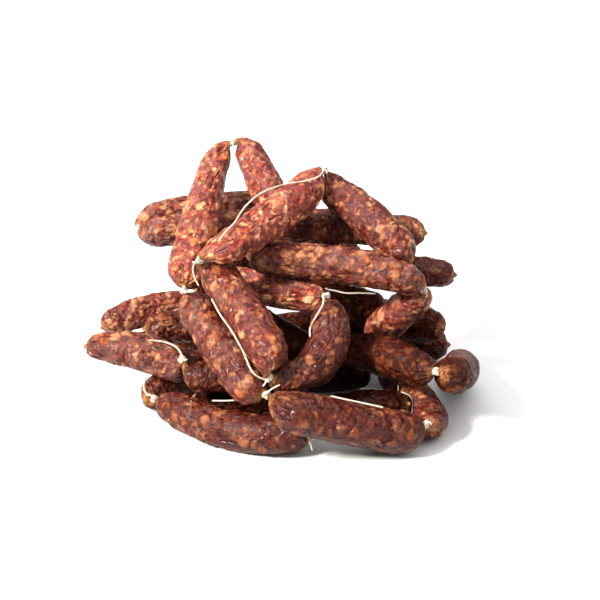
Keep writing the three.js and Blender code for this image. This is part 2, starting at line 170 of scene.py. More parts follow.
def grain(tree, size_mm, detail=2.0, roughness=0.5, seed=0.0):
    """A cloudy pattern from 0 to 1 whose patches are about size_mm across. Another seed looks
    at another place of the same endless pattern."""
    place = add_node(tree, "ShaderNodeTexCoord").outputs["Object"]
    moved = add_node(
        tree, "ShaderNodeMapping", {"Vector": place, "Location": (seed, seed * 0.7, -seed)},
    )
    noise = add_node(
        tree, "ShaderNodeTexNoise",
        {"Vector": moved.outputs["Vector"], "Scale": 1 / (size_mm * MM), "Detail": detail,
         "Roughness": roughness},
    )
    return noise.outputs["Fac"]


def painted(tree, name):
    """A number that is stored on the surface under that name."""
    return add_node(tree, "ShaderNodeAttribute", attribute_name=name).outputs["Fac"]


def new_group(name, inputs, outputs):
    """An empty node group with those sockets. Each is a name with its kind and first value."""
    group = bpy.data.node_groups.new(name, "ShaderNodeTree")
    for label, (kind, value) in inputs.items():
        socket = group.interface.new_socket(label, in_out="INPUT", socket_type=kind)
        socket.default_value = value
    for label, kind in outputs.items():
        group.interface.new_socket(label, in_out="OUTPUT", socket_type=kind)
    given = group.nodes.new("NodeGroupInput")
    result = group.nodes.new("NodeGroupOutput")
    return group, given.outputs, result.inputs


NUMBER = "NodeSocketFloat"
COLOUR = "NodeSocketColor"
print("node helpers ready")

# %% The room around the heap
DIM_WALLS, WHITE_CEILING = 0.10, 2.9

world = bpy.data.worlds.new("studio")
bpy.context.scene.world = world
world.use_nodes = True
room = world.node_tree
direction = add_node(room, "ShaderNodeTexCoord").outputs["Generated"]
sides = add_node(room, "ShaderNodeSeparateXYZ", {"Vector": direction})
brightness = ease(room, sides.outputs["Z"], 0.3, 0.95, DIM_WALLS, WHITE_CEILING)
room.links.new(brightness, room.nodes["Background"].inputs["Strength"])
room.nodes["Background"].inputs["Color"].default_value = (1.0, 0.985, 0.965, 1)
print("a room that is white above and dim at the height of the heap")

# %% [markdown]
# ## Effect: fat in the lean meat
# The filling is coarsely chopped: lumps of fat, two to five millimetres across, sit in dark lean
# meat. Some lie right under the casing and look bright orange or cream, others show dimly
# through a layer of lean. An image could hold that pattern, but here it comes from two sources
# that fit together. Each link's mesh stores how deep a place lies inside a lump, in millimetres,
# and the shader turns that number into a crisp, slightly ragged outline and its colours. The
# lean itself is dark or red in patches, with duller and brighter ones laid over them.

# %% Group: fat in lean
MEAT_COLOURS = {
    "Dark Lean": (0.042, 0.005, 0.004, 1),
    "Red Lean": (0.140, 0.017, 0.012, 1),
    "Dull Lean": (0.125, 0.033, 0.030, 1),
    "Bright Lean": (0.24, 0.036, 0.012, 1),
    "Orange Fat": (0.40, 0.105, 0.026, 1),
    "Cream Fat": (0.58, 0.260, 0.118, 1),
}
RAGGEDNESS = 2.2

marbling, given, result = new_group(
    "fat_in_lean",
    {"Lump Depth": (NUMBER, 0.0), "Lump Tone": (NUMBER, 0.5)}
    | {label: (COLOUR, colour) for label, colour in MEAT_COLOURS.items()},
    {"Color": COLOUR, "Fat": NUMBER},
)
ragged = calculate(
    marbling, "MULTIPLY_ADD", grain(marbling, 2.2, 2), RAGGEDNESS, -RAGGEDNESS / 2,
)
depth = calculate(marbling, "ADD", given["Lump Depth"], ragged)
lump = ease(marbling, depth, -0.8, 1.1, 0.0, 0.9)
nearness = ease(marbling, grain(marbling, 9.0, 2, seed=0.3), 0.36, 0.6, 0.15, 1.0)
fat = calculate(marbling, "MULTIPLY", lump, nearness)
crumbs = ease(marbling, grain(marbling, 2.6, 2, seed=0.7), 0.55, 0.72, 0.0, 0.4)
fat = calculate(marbling, "MAXIMUM", fat, crumbs)
lean = mix_colours(
    marbling, ease(marbling, grain(marbling, 4.6, 1.5, seed=0.5), 0.36, 0.6),
    given["Dark Lean"], given["Red Lean"],
)
dull = ease(marbling, grain(marbling, 7.0, 2, seed=1.1), 0.44, 0.62, 0.0, 0.85)
lean = mix_colours(marbling, dull, lean, given["Dull Lean"])
bright = ease(marbling, grain(marbling, 3.2, 1.5, seed=2.3), 0.56, 0.7, 0.0, 0.7)
lean = mix_colours(marbling, bright, lean, given["Bright Lean"])
tone = calculate(marbling, "ADD", given["Lump Tone"], grain(marbling, 3.0, 2, seed=0.9))
fat_colour = mix_colours(
    marbling, ease(marbling, tone, 0.5, 1.2), given["Orange Fat"], given["Cream Fat"],
)
marbling.links.new(mix_colours(marbling, fat, lean, fat_colour), result["Color"])
marbling.links.new(fat, result["Fat"])
print("group", marbling.name, "has", len(marbling.nodes), "nodes")

# %% [markdown]
# ## Effect: a casing that has dried
# The casing is a thin skin that shrinks less than the meat, so it lies in fine wrinkles over the
# coarse bits of the filling, has small pits, and carries a dusting of pale bloom here and there.
# The same group serves the skin's bump, its gloss and its colour, so that the three always agree,
# and it gives a mask of painted shade for the wrinkles and creases.
#
# A wrinkle is a place where a cloudy pattern passes through its middle value. The bits are the
# cells of a Voronoi pattern, whose borders are bent by another cloudy pattern.

# %% Group: dried casing
WRINKLE_HEIGHT, BIT_HEIGHT, PORE_HEIGHT, CREASE_HEIGHT = 0.22, 2.8, 0.02, -1.2
BIT_SIZE = 4.4 * MM
BIT_BEND = 2.6 * MM

casing, given, result = new_group(
    "dried_casing",
    {"Crease": (NUMBER, 0.0), "Bloom": (NUMBER, 0.3), "Fat": (NUMBER, 0.0)},
    {"Height": NUMBER, "Bloom": NUMBER, "Roughness": NUMBER, "Crease Shade": NUMBER},
)
wrinkle = calculate(casing, "SUBTRACT", grain(casing, 3.6, 5, 0.6, seed=1.3), 0.5)
wrinkle = calculate(casing, "ABSOLUTE", wrinkle)
wrinkle = ease(casing, wrinkle, 0.0, 0.1)
pores = grain(casing, 0.7, 2, seed=1.7)
place = add_node(casing, "ShaderNodeTexCoord").outputs["Object"]
bending = add_node(
    casing, "ShaderNodeTexNoise", {"Vector": place, "Scale": 1 / (4 * MM), "Detail": 1.0},
)
bent = add_node(
    casing, "ShaderNodeVectorMath",
    {0: bending.outputs["Color"], 1: (BIT_BEND,) * 3, 2: place}, operation="MULTIPLY_ADD",
)
cells = add_node(
    casing, "ShaderNodeTexVoronoi",
    {"Vector": bent.outputs["Vector"], "Scale": 1 / BIT_SIZE, "Smoothness": 0.3},
    feature="SMOOTH_F1",
)
bits = calculate(casing, "SUBTRACT", 1.0, cells.outputs["Distance"])
height = given["Fat"]
for part, part_height in ((wrinkle, WRINKLE_HEIGHT), (bits, BIT_HEIGHT), (pores, PORE_HEIGHT),
                          (given["Crease"], CREASE_HEIGHT)):
    height = calculate(casing, "MULTIPLY_ADD", part, part_height, height)
veil = ease(casing, grain(casing, 11.0, 3, 0.6, seed=2.1), 0.42, 0.68)
speckle = ease(casing, grain(casing, 0.9, 3, seed=2.6), 0.4, 0.7, 0.35, 1.0)
bloom = calculate(casing, "MULTIPLY", calculate(casing, "MULTIPLY", veil, speckle), given["Bloom"])
gloss = ease(casing, grain(casing, 4.0, 3, seed=3.1), 0.38, 0.66, 0.28, 0.42)
gloss = calculate(casing, "MULTIPLY_ADD", bloom, 0.35, gloss)
# Painted shade: a mask that is strong along wrinkle lines and drying creases, where the colour is
# darkened as shade.
crease_shade = calculate(casing, "SUBTRACT", 1.0, wrinkle)
crease_shade = calculate(casing, "MAXIMUM", calculate(casing, "MULTIPLY", crease_shade, 0.4), given["Crease"])
casing.links.new(height, result["Height"])
casing.links.new(bloom, result["Bloom"])
casing.links.new(gloss, result["Roughness"])
casing.links.new(crease_shade, result["Crease Shade"])
print("group", casing.name, "has", len(casing.nodes), "nodes")

# %% [markdown]
# ## Finish: sausage
# The two effects together give the finish. Wrinkles and creases are darkened with painted shade,
# and bloom is laid on. Then the colour is multiplied by the link's tone, which is partly its own,
# as links differ in how far they have dried, and partly painted light and shade for where the link
# lies in the heap. A darker one is also redder, so green and blue fall faster than red. The
# gathered casing at a neck has no meat behind it and stays tan.
#
# The shine is a thin clear coat on nearly matt meat, so it shows as small crisp glints. Links that
# lie in shade get less of it, as painted shade: their skins show less reflection.

# %% Sausage finishes
# Nearly black painted shade for wrinkles and creases.
CREASE_SHADE_COLOUR = (0.012, 0.002, 0.001, 1)
BLOOM_COLOUR = (0.24, 0.145, 0.125, 1)
NECK_COLOUR = (0.28, 0.115, 0.042, 1)


def sausage_finish(name, coat):
    """Meat and fat seen through a dried, glossy casing, with tan folds at the necks."""
    material = bpy.data.materials.new(name)
    material.use_nodes = True
    tree = material.node_tree
    shader = tree.nodes["Principled BSDF"]
    meat = add_node(
        tree, "ShaderNodeGroup",
        {**MEAT_COLOURS, "Lump Depth": painted(tree, "lump_depth"),
         "Lump Tone": painted(tree, "lump_tone")},
        node_tree=marbling,
    )
    skin = add_node(
        tree, "ShaderNodeGroup",
        {"Crease": painted(tree, "crease"), "Bloom": painted(tree, "bloom"),
         "Fat": meat.outputs["Fat"]},
        node_tree=casing,
    )
    # Painted shade: wrinkles and creases are darkened towards nearly black.
    darkened = calculate(tree, "MULTIPLY", skin.outputs["Crease Shade"], 0.8)
    colour = mix_colours(tree, darkened, meat.outputs["Color"], CREASE_SHADE_COLOUR)
    colour = mix_colours(tree, skin.outputs["Bloom"], colour, BLOOM_COLOUR)
    # Painted light and shade: the link's tone is partly its own colour and partly how lit or
    # shaded it lies in the heap.
    tone_and_shade = painted(tree, "tone_and_shade")
    shade = calculate(tree, "MINIMUM", tone_and_shade, 1.0)
    green = calculate(tree, "MULTIPLY", tone_and_shade, calculate(tree, "POWER", shade, 0.3))
    blue = calculate(tree, "MULTIPLY", tone_and_shade, calculate(tree, "POWER", shade, 0.45))
    toning = add_node(
        tree, "ShaderNodeCombineColor", {"Red": tone_and_shade, "Green": green, "Blue": blue},
    )
    colour = mix_colours(tree, 1.0, colour, toning.outputs["Color"], "MULTIPLY")
    neck = calculate(tree, "ADD", painted(tree, "neck"), grain(tree, 1.5, 2))
    colour = mix_colours(tree, ease(tree, neck, 0.95, 1.4), colour, NECK_COLOUR)
    tree.links.new(colour, shader.inputs["Base Color"])
    tree.links.new(skin.outputs["Roughness"], shader.inputs["Roughness"])
    bump = add_node(
        tree, "ShaderNodeBump",
        {"Height": skin.outputs["Height"], "Strength": 0.9, "Distance": 0.62 * MM},
    )
    tree.links.new(bump.outputs["Normal"], shader.inputs["Normal"])
    tree.links.new(bump.outputs["Normal"], shader.inputs["Coat Normal"])
    for label, value in (
        ("IOR", 1.45), ("Specular IOR Level", 0.03),
        ("Coat Weight", coat), ("Coat Roughness", 0.06),
        ("Subsurface Weight", 0.12), ("Subsurface Radius", (1.0, 0.3, 0.15)),
        ("Subsurface Scale", 1.6 * MM),
    ):
        shader.inputs[label].default_value = value
    return material


# Copies that differ only in coat: the thinner coats are painted shade for links that lie in shade.
deep_red = sausage_finish("sausage_deep_red", coat=0.28)
shaded_red = sausage_finish("sausage_shaded_red", coat=0.10)
inner_shade_red = sausage_finish("sausage_dry_red", coat=0.03)
print("finishes", deep_red.name, shaded_red.name, "and", inner_shade_red.name)

# %% [markdown]
# ## Effect and finish: cotton twine
# Butcher's twine is a few plies of soft cotton laid round each other. The grooves between the
# plies are darkened with painted shade, and the string has picked up a little fat and colour from
# the meat.

# %% Group and finish: twine
DULL_FIBRE, PALE_FIBRE = (0.50, 0.43, 0.33, 1), (0.70, 0.63, 0.52, 1)
PLY_SHADE_COLOUR = (0.10, 0.065, 0.04, 1)
STAIN_COLOUR = (0.24, 0.11, 0.05, 1)

cotton, given, result = new_group(
    "laid_cotton", {"Groove": (NUMBER, 0.0), "Stain": (NUMBER, 0.4)},
    {"Color": COLOUR, "Height": NUMBER},
)
fibre = grain(cotton, 0.35, 3, 0.6)
clean = mix_colours(cotton, fibre, DULL_FIBRE, PALE_FIBRE)
# Painted shade: the colour darkens in the grooves between the plies.
ply_shade = calculate(cotton, "MULTIPLY", given["Groove"], 0.6)
shaded = mix_colours(cotton, ply_shade, clean, PLY_SHADE_COLOUR)
patches = ease(cotton, grain(cotton, 4.0, 2, seed=0.4), 0.5, 0.72)
touched = calculate(cotton, "MULTIPLY", patches, given["Stain"])
cotton.links.new(mix_colours(cotton, touched, shaded, STAIN_COLOUR), result["Color"])
height = calculate(cotton, "MULTIPLY_ADD", given["Groove"], -1.0, fibre)
cotton.links.new(height, result["Height"])


def twine_finish(name, stain):
    """Matt cotton with bumpy fibres, more or less stained."""
    material = bpy.data.materials.new(name)
    material.use_nodes = True
    tree = material.node_tree
    shader = tree.nodes["Principled BSDF"]
    string = add_node(
        tree, "ShaderNodeGroup", {"Groove": painted(tree, "groove"), "Stain": stain},
        node_tree=cotton,
    )
    tree.links.new(string.outputs["Color"], shader.inputs["Base Color"])
    bump = add_node(
        tree, "ShaderNodeBump",
        {"Height": string.outputs["Height"], "Strength": 0.5, "Distance": 0.15 * MM},
    )
    tree.links.new(bump.outputs["Normal"], shader.inputs["Normal"])
    shader.inputs["Roughness"].default_value = 0.85
    shader.inputs["Sheen Weight"].default_value = 0.25
    return material


clean_twine = twine_finish("cotton_twine", 0.25)
stained_twine = twine_finish("cotton_twine_stained", 0.75)
print("finishes", clean_twine.name, "and", stained_twine.name)

# %% [markdown]
# ## Number tools for surfaces
# Every surface here is worked out with whole arrays of numbers, in millimetres until it is made a
# mesh. These helpers give a repeatable random draw, a soft cloudy pattern made of such draws, and
# a smooth curve through given rows.

# %% Random draws, soft noise and smooth curves


def draw(place, seed):
    """A repeatable number from 0 to 1 for each whole-number place: its three coordinates are
    multiplied by large odd numbers, mixed by shifts, and read as a fraction of the largest."""
    x, y, z = (place[..., k].astype(np.int64) for k in range(3))
    mixed = (x * 73856093) ^ (y * 19349663) ^ (z * 83492791) ^ (seed * 40503 + 977)
    mixed &= 0xFFFFFFFF
    for factor in (0x45D9F3B, 0x119DE1F3):
        mixed = ((mixed ^ (mixed >> 16)) * factor) & 0xFFFFFFFF
    return (mixed ^ (mixed >> 16)) / 0xFFFFFFFF


def soft_noise(points, size, seed):
    """Smooth noise from -1 to 1: space is cut in cubes of that size, each corner gets a draw, and
    inside a cube the eight draws are blended with weights 3t^2 - 2t^3 along each side."""
    scaled = points / size
    base = np.floor(scaled).astype(np.int64)
    t = scaled - base
    t = t * t * (3 - 2 * t)
    total = np.zeros(points.shape[:-1])
    for corner in itertools.product((0, 1), repeat=3):
        weight = np.prod(np.where(corner, t, 1 - t), axis=-1)
        total += weight * draw(base + np.array(corner), seed)
    return 2 * total - 1


def smooth_step(x, low, high):
    """0 below low, 1 above high, and 3t^2 - 2t^3 in between."""
    t = np.clip((x - low) / (high - low), 0, 1)
    return t * t * (3 - 2 * t)


def smooth_through(knots, values, at):
    """A cubic curve through the rows of values at the knots. Its slope at each knot comes from
    the two neighbouring rows, so neighbouring stretches join smoothly."""
    slopes = np.gradient(values, knots, axis=0)
    i = np.clip(np.searchsorted(knots, at, side="right") - 1, 0, len(knots) - 2)
    width = (knots[i + 1] - knots[i])[:, None]
    t = (at - knots[i])[:, None] / width
    value_part = (1 + 2 * t) * (1 - t) ** 2 * values[i] + t * t * (3 - 2 * t) * values[i + 1]
    slope_part = t * (1 - t) ** 2 * slopes[i] - t * t * (1 - t) * slopes[i + 1]
    return value_part + width * slope_part


def unit(rows):
    """Each row divided by its length."""
    return rows / np.linalg.norm(rows, axis=-1, keepdims=True)


def carried_frames(ways, first_across):
    """Two directions square to each way, turned as little as possible from row to row: each is
    the one before it with its part along the new way taken out."""
    across = np.empty_like(ways)
    last = first_across
    for row, way in enumerate(ways):
        last = last - way * (last @ way)
        last = last / np.linalg.norm(last)
        across[row] = last
    return across, np.cross(ways, across)


print("a draw:", round(float(draw(np.array([1, 2, 3]), 4)), 3))

# %% [markdown]
# ## Reading a link from its solid
# A link's solid is thirteen rings of twelve corners with a pole at each end. The mesh doesn't say
# which corner is in which ring, but the number of edges from a pole does. Each ring then gives a
# middle, a direction and a radius that varies a little round it. Those few numbers are all that
# the fine skin needs.

# %% Rings, middles and radii of a link
RINGS, SIDES = 13, 12


def corners_of(node):
    """Each corner of the node's mesh once, in mm, and the pairs of corners joined by an edge."""
    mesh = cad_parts[node].data
    places = np.empty(len(mesh.vertices) * 3, np.float32)
    mesh.vertices.foreach_get("co", places)
    places = places.reshape(-1, 3).astype(float) / MM
    keys = np.round(places, 3)
    _, first, number = np.unique(keys, axis=0, return_index=True, return_inverse=True)
    edges = np.empty(len(mesh.edges) * 2, np.int32)
    mesh.edges.foreach_get("vertices", edges)
    pairs = np.unique(np.sort(number.reshape(-1)[edges].reshape(-1, 2), axis=1), axis=0)
    return places[first], np.vstack([pairs, pairs[:, ::-1]])


def rings_of(node):
    """The solid's corners as rings, sorted by their steps along edges from one pole."""
    points, pairs = corners_of(node)
    steps = np.full(len(points), -1)
    steps[np.argmax(np.bincount(pairs[:, 0]))] = 0
    for step in range(RINGS + 1):
        reached = (steps[pairs[:, 0]] == step) & (steps[pairs[:, 1]] < 0)
        steps[pairs[reached, 1]] = step + 1
    order = np.argsort(steps, kind="stable")
    return points[order[1:-1]].reshape(RINGS, SIDES, 3)


def round_waves(angles):
    """1, then the cosine and sine of one, two and three times the angle, in a last axis."""
    waves = [np.ones_like(angles)]
    for turns in (1, 2, 3):
        waves += [np.cos(turns * angles), np.sin(turns * angles)]
    return np.stack(waves, axis=-1)


def spine_of(node):
    """The link's ring middles, directions and radii. A direction is the one that the spokes of a
    ring leave out, and a radius is fitted with a few waves round the ring."""
    rings = rings_of(node)
    middles = rings.mean(axis=1)
    spokes = rings - middles[:, None]
    ways = np.linalg.svd(spokes)[2][:, 2]
    ways *= np.sign((ways * np.gradient(middles, axis=0)).sum(axis=1))[:, None]
    across, upright = carried_frames(ways, spokes[0, 0])
    angles = np.arctan2(
        (spokes * upright[:, None]).sum(-1), (spokes * across[:, None]).sum(-1)
    )
    radii = np.linalg.norm(spokes, axis=-1)
    waves = (np.linalg.pinv(round_waves(angles)) @ radii[..., None])[..., 0]
    return {"middles": middles, "ways": ways, "across": across, "waves": waves}


spines = {name: spine_of(name) for name in link_names}
widest = 2 * max(spine["waves"][:, 0].max() for spine in spines.values())
print("widest link:", round(widest, 1), "mm")

# %% [markdown]
# ## Ties: which necks each one closes
# A tie closes the neck between two links, or the last neck of one. Its place follows from the
# links: halfway between two neck tips, or just beyond a single tip. Knowing this first lets the
# skins run on into the ties as gathered casing. The table gives each tie's links, and the way
# that its knot points.

# %% Tie places
HALF_TIE = 2.45
TIES = {
    "tie_crown_peak": (("link_crown_left", "link_crown_rear"), (0, -1, 0.4)),
    "tie_crown_ridge": (("link_crown_front", "link_crown_right"), (-0.3, -1, 0.6)),
    "tie_left_shoulder": (("link_left_shoulder_thin", "link_left_shoulder"), (-0.5, -0.5, 0.7)),
    "tie_middle_left": (("link_crown_front", "link_middle_steep"), (-0.6, -0.8, 0)),
    "tie_middle_foot": (("link_middle_steep", "link_front_bowed"), (-0.5, -1, -1)),
    "tie_front": (("link_left_steep", "link_front_right_upper"), (0, -0.8, 0.6)),
    "tie_left_steep_top": (("link_left_steep",), (0, -0.9, 0.4)),
    "tie_right_fold": (("link_middle_long", "link_right_drooping"), (0.4, -0.9, 0.2)),
    "tie_right_end": (("link_right_front_middle", "link_right_end_on"), (0, -0.6, 0.8)),
    "tie_right_floor": (("link_front_right_upper", "link_right_floor"), (0.2, -0.6, 0.8)),
    "tie_front_slanting": (("link_front_slanting",), (0.3, -0.8, 0.5)),
    "tie_floor_left": (("link_front_floor",), (0, -0.7, 0.7)),
    "tie_floor_front": (("link_front_floor",), (0, -1, 0.2)),
    "tie_bowed_top": (("link_front_bowed",), (-0.6, -0.7, 0.4)),
}


def tip_near(link, place):
    """The link's neck tip nearer to the place, the direction out of it, and which end it is."""
    spine = spines[link]
    ends = spine["middles"][[0, -1]]
    end = int(np.linalg.norm(ends - place, axis=1).argmin())
    return ends[end], spine["ways"][-end] * (1 if end else -1), end


def tie_place(name):
    """The tie's middle, its axis, and the way its knot points, square to the axis."""
    links, knot_way = TIES[name]
    low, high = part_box(name)
    around = (np.array(low) + np.array(high)) / 2 / MM
    tips = [tip_near(link, around) for link in links]
    if len(tips) == 2:
        middle = (tips[0][0] + tips[1][0]) / 2
        axis = unit(tips[1][0] - tips[0][0])
    else:
        axis = tips[0][1]
        middle = tips[0][0] + HALF_TIE * axis
    for link, tip in zip(links, tips):
        spines[link].setdefault("tied", {})[tip[2]] = middle
    outward = np.array(knot_way, float)
    outward = unit(outward - axis * (outward @ axis))
    return {"middle": middle, "axis": axis, "outward": outward}


tie_places = {name: tie_place(name) for name in TIES}
highest = max(place["middle"][2] for place in tie_places.values())
print(len(tie_places), "ties, the highest at", round(highest), "mm")

# %% [markdown]
# ## A link's skin
# The skin is a tube of changing radius, closed at both ends: a function of the distance along the
# link and the angle round it. A sculpting brush could raise the lumps and press in the folds, but
# a formula does it for all links at once and gives the same heap every time. On the bare tube it
# adds low swellings, the bulges of fat lumps under the casing, long drying creases, and folds
# that gather towards the necks.
#
# Lumps come in two kinds, each with the size of its cubes in mm and the share of them that hold
# a lump. A neck's rows each have a reach beyond the solid's tip and a radius, both in mm.

# %% Lumps of fat under the skin


def fat_lumps(points, size, share, seed):
    """How deep each point lies in a lump of fat, in mm, and the lump's own tone. Space is cut in
    cubes, a share of which holds one ball each. A point's depth is the nearest ball's radius less
    the distance to its middle, and no more than half of what it is nearer to that ball than to
    the next one, so that a thin line of lean is left between them."""
    scaled = points / size
    base = np.floor(scaled).astype(np.int64)
    nearest = np.full(points.shape[:-1], 9.0)
    second = nearest.copy()
    tone = np.zeros(points.shape[:-1])
    for offset in itertools.product((-1, 0, 1), repeat=3):
        cube = base + np.array(offset)
        middle = cube + np.stack([0.1 + 0.8 * draw(cube, seed + k) for k in range(3)], axis=-1)
        radius = 0.2 + 0.42 * draw(cube, seed + 3)
        gap = np.linalg.norm(scaled - middle, axis=-1) - radius
        gap = np.where(draw(cube, seed + 4) < share, gap, 9.0)
        closer = gap < nearest
        second = np.where(closer, nearest, np.minimum(second, gap))
        tone = np.where(closer, draw(cube, seed + 5), tone)
        nearest = np.where(closer, gap, nearest)
    depth = np.minimum(-nearest, (second - nearest) / 2 + 0.04)
    return np.clip(depth * size, -2, 4), tone


BIG_LUMPS, SMALL_LUMPS = (6.8, 0.62), (3.9, 0.34)
sample = np.stack(np.meshgrid(*[np.arange(0, 30, 1.5)] * 3), axis=-1)
fatty = (fat_lumps(sample, *BIG_LUMPS, 1)[0] > 0).mean()
print("share of the filling in big lumps of fat:", round(float(fatty), 2))

# %% The bare tube of a link
ROW_STEP = 0.85
COLUMNS = 104
TIED_NECK = ((1.2, 1.6), (2.45, 1.45))
LOOSE_NECK = ((0.8, 1.6), (1.7, 0.9))


def with_necks(spine):
    """The link's rows with two more beyond each end, where the casing gathers into its neck."""
    middles, ways, across, waves = (spine[k] for k in ("middles", "ways", "across", "waves"))
    for end in (0, 1):
        row = -1 if end else 0
        outward = ways[row] * (1 if end else -1)
        tied = spine.get("tied", {}).get(end)
        for reach, radius in TIED_NECK if tied is not None else LOOSE_NECK:
            tip = spine["middles"][row] + reach * outward
            if tied is not None:
                tip = spine["middles"][row] + (tied - spine["middles"][row]) * reach / HALF_TIE
            wave = np.zeros(waves.shape[1])
            wave[0] = radius
            grow = [(middles, tip), (ways, ways[row]), (across, across[row]), (waves, wave)]
            pairs = [(rows, new[None]) for rows, new in grow]
            middles, ways, across, waves = (
                np.vstack(pair if end else pair[::-1]) for pair in pairs
            )
    return middles, ways, across, waves


def bare_tube(spine):
    """Rows of points round the link. Rows are spaced evenly along the skin's own profile, whose
    length grows by the root of the squared steps of the middles and of the radius."""
    middles, ways, across, waves = with_necks(spine)
    steps = np.hypot(np.linalg.norm(np.diff(middles, axis=0), axis=1), np.diff(waves[:, 0]))
    knots = np.concatenate([[0], np.cumsum(steps)])
    at = np.linspace(0, knots[-1], int(knots[-1] / ROW_STEP))
    rows = smooth_through(knots, np.hstack([middles, ways, across, waves]), at)
    middles, ways, across, waves = np.split(rows, [3, 6, 9], axis=1)
    ways = unit(ways)
    across = unit(across - ways * (across * ways).sum(axis=1, keepdims=True))
    upright = np.cross(ways, across)
    angles = np.linspace(0, 2 * np.pi, COLUMNS, endpoint=False)
    radii = waves @ round_waves(angles).T
    spokes = np.cos(angles)[None, :, None] * across[:, None]
    spokes = spokes + np.sin(angles)[None, :, None] * upright[:, None]
    points = middles[:, None] + radii[..., None] * spokes
    return {"points": points, "middles": middles, "radii": waves[:, 0], "at": at,
            "angles": angles, "ways": ways}


def outward_normals(points):
    """The direction square to the surface: the cross product of its steps round and along."""
    along = np.gradient(points, axis=0)
    around = np.roll(points, -1, axis=1) - np.roll(points, 1, axis=1)
    normals = np.cross(around, along)
    return normals / np.maximum(np.linalg.norm(normals, axis=-1, keepdims=True), 1e-9)


tube = bare_tube(spines[link_names[0]])
print(link_names[0], "has", tube["points"].shape[:2], "rows and columns")

# %% Relief of the skin
SWELL = 0.3
FOLDS = 13
DENTS = ((0.8, 10), (0.45, 6), (0.1, 2.6))
FAT_BULGE, CREASE_DEPTH, FOLD_DEPTH, NECK_FOLD_DEPTH = 0.5, 0.55, 1.1, 0.25
LUMP_BEND, LUMP_BEND_SIZE = 2.2, 3.6
CREASE_WIDTH, CREASE_LENGTH = 4.2, 15


def relief(tube, seed):
    """Height over the bare tube in mm, and what the finish needs to know of each place. The height
    is an even swelling plus three sizes of soft noise plus a bulge where the fat is deep, less
    long creases on the body and folds that deepen with the narrowing of the neck. A crease lies
    where a noise that is stretched along the link passes through zero. A fold is 1 - |sin|, with
    its number of sharp ridges round the neck."""
    points = tube["points"] + 1000 * seed
    radius = tube["radii"][:, None]
    neck = np.clip(1 - radius / np.percentile(tube["radii"], 75), 0, 1)
    bend = [soft_noise(points, LUMP_BEND_SIZE, seed + k) for k in (11, 12, 13)]
    bent = points + LUMP_BEND * np.stack(bend, axis=-1)
    big, big_tone = fat_lumps(bent, *BIG_LUMPS, seed)
    small, small_tone = fat_lumps(bent, *SMALL_LUMPS, seed + 31)
    depth = np.maximum(big, small)
    tone = np.where(big > small, big_tone, small_tone)
    along, angles = np.meshgrid(tube["at"], tube["angles"], indexing="ij")
    across = CREASE_WIDTH * np.stack([np.cos(angles), np.sin(angles)], axis=-1)
    stretched = np.concatenate([across, along[..., None] / CREASE_LENGTH], axis=-1)
    wander = soft_noise(stretched + 7 * seed, 1.0, seed + 41)
    crease = 1 - smooth_step(np.abs(wander), 0.0, 0.13)
    crease = crease * smooth_step(soft_noise(points, 16, seed + 42), -0.1, 0.4)
    turning = FOLDS / 2 * angles + 1.2 * soft_noise(points, 6, seed + 43)
    fold = neck ** 1.4 * (1 - np.abs(np.sin(turning)))
    height = SWELL + FAT_BULGE * (smooth_step(depth, -0.8, 1.6) - 0.4)
    for number, (dent, size) in enumerate(DENTS):
        height = height + dent * soft_noise(points, size, seed + 44 + number)
    height = height - CREASE_DEPTH * crease * (1 - neck) - FOLD_DEPTH * fold
    height = height * smooth_step(radius, 1.2, 4.0) - NECK_FOLD_DEPTH * fold
    return height, {"lump_depth": depth, "lump_tone": tone, "crease": crease, "neck": neck}


height, values = relief(tube, 1)
print("the skin stands", round(height.min(), 1), "to", round(height.max(), 1), "mm over its tube")

# %% A grid of points made a mesh


def closed_mesh(name, points, poles, values, material):
    """A tube of rows and columns with a pole at each end: squares between the rows, and a fan of
    triangles at each pole. The values are stored on the points for the finish to read."""
    rows, columns = points.shape[:2]
    places = np.vstack([points.reshape(-1, 3), poles]) * MM
    grid = np.arange(rows * columns).reshape(rows, columns)
    turned = np.roll(grid, -1, axis=1)
    squares = np.stack([grid[:-1], turned[:-1], turned[1:], grid[1:]], axis=-1).reshape(-1)
    first, last = rows * columns, rows * columns + 1
    fans = [np.stack([turned[0], grid[0], np.full(columns, first)], axis=-1)]
    fans.append(np.stack([grid[-1], turned[-1], np.full(columns, last)], axis=-1))
    corners = np.concatenate([squares, *(fan.reshape(-1) for fan in fans)])
    sizes = np.concatenate([np.full((rows - 1) * columns, 4), np.full(2 * columns, 3)])
    mesh = bpy.data.meshes.new(name)
    mesh.vertices.add(len(places))
    mesh.vertices.foreach_set("co", places.astype(np.float32).reshape(-1))
    mesh.loops.add(len(corners))
    mesh.loops.foreach_set("vertex_index", corners.astype(np.int32))
    mesh.polygons.add(len(sizes))
    starts = np.concatenate([[0], np.cumsum(sizes)[:-1]])
    mesh.polygons.foreach_set("loop_start", starts.astype(np.int32))
    mesh.update(calc_edges=True)
    mesh.polygons.foreach_set("use_smooth", np.ones(len(sizes), bool))
    for label, grid_values in values.items():
        flat = np.broadcast_to(grid_values, (rows, columns)).reshape(-1)
        flat = np.concatenate([flat, [flat[0], flat[-1]]]).astype(np.float32)
        mesh.attributes.new(label, "FLOAT", "POINT").data.foreach_set("value", flat)
    mesh.materials.append(material)
    piece = bpy.data.objects.new(name, mesh)
    bpy.context.scene.collection.objects.link(piece)
    return piece


def stands_for(piece, node):
    """The piece is shown instead of the solid and lies with it."""
    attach(piece, "root")
    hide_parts(node)


print("mesh maker ready")
